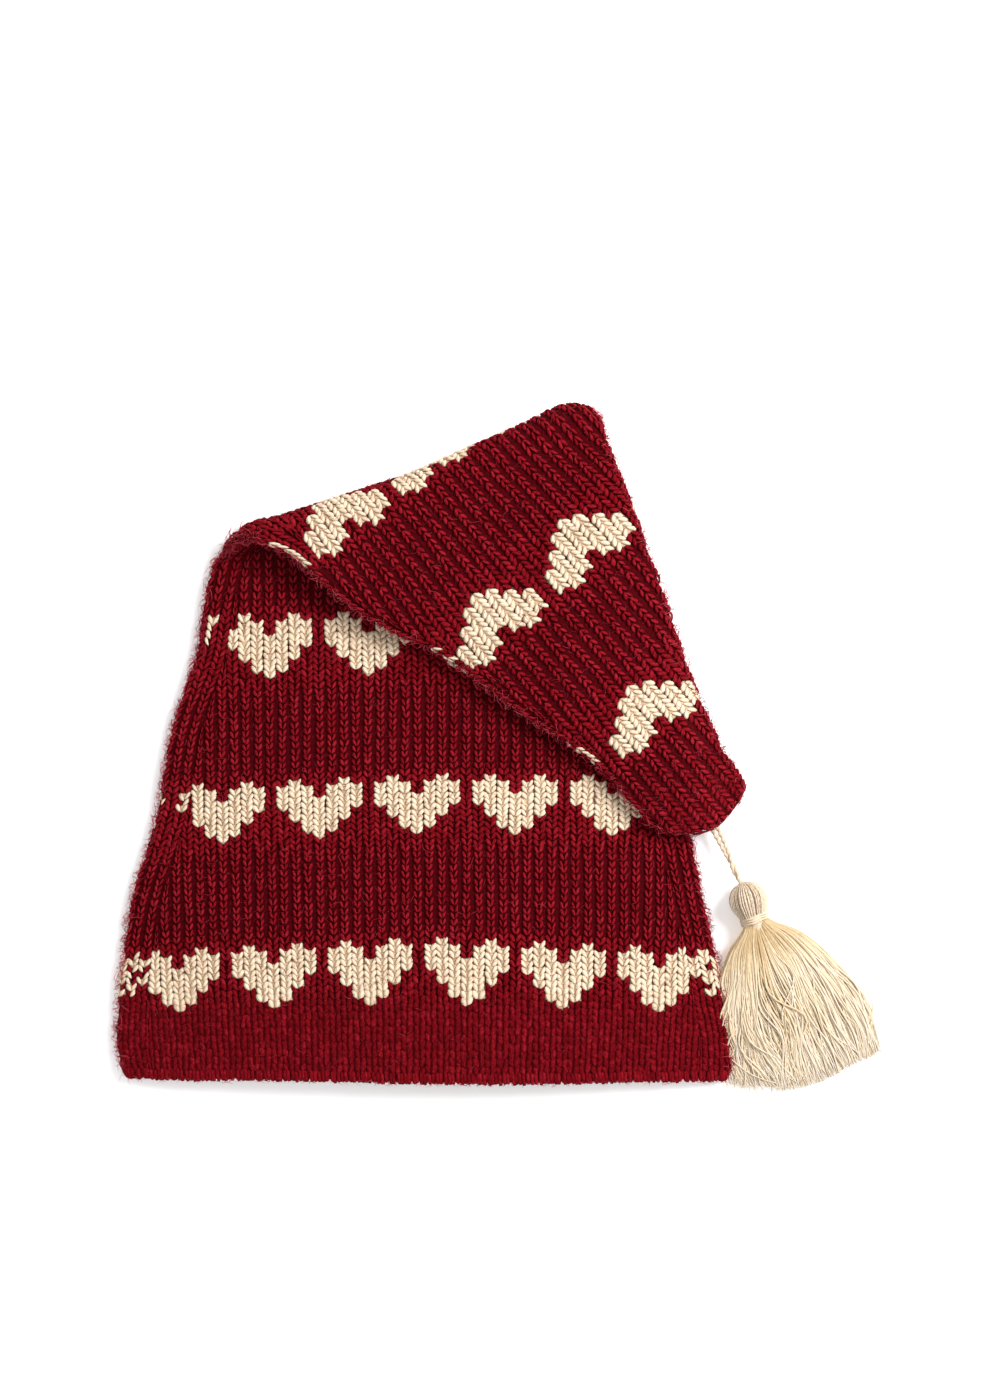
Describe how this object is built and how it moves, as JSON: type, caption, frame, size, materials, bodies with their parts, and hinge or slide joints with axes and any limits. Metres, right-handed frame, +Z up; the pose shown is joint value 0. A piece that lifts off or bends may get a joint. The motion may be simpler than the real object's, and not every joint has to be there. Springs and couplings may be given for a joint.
{
  "type": "knitted christmas hat",
  "caption": "Child's long knitted winter hat with rows of hearts, lying flat with its tip folded over the body and a tassel on a short cord.",
  "frame": {"origin": "on the floor, under the middle of the whole, with the hat lying on its back", "axes": "+X to the side where the tassel lies, along the brim; +Y from the brim towards the fold; +Z up from the floor"},
  "size_m": [0.258, 0.2316, 0.0205],
  "materials": {
    "wool_red": "ribbed wool knitting with a slight halo of fibres",
    "wool_cream": "undyed cream wool yarn"
  },
  "bodies": {
    "root": {"knit_shell": "wool_red", "tassel_cord": "wool_cream", "tassel_wrap": "wool_cream", "tassel": "wool_cream"}
  },
  "joints": []
}
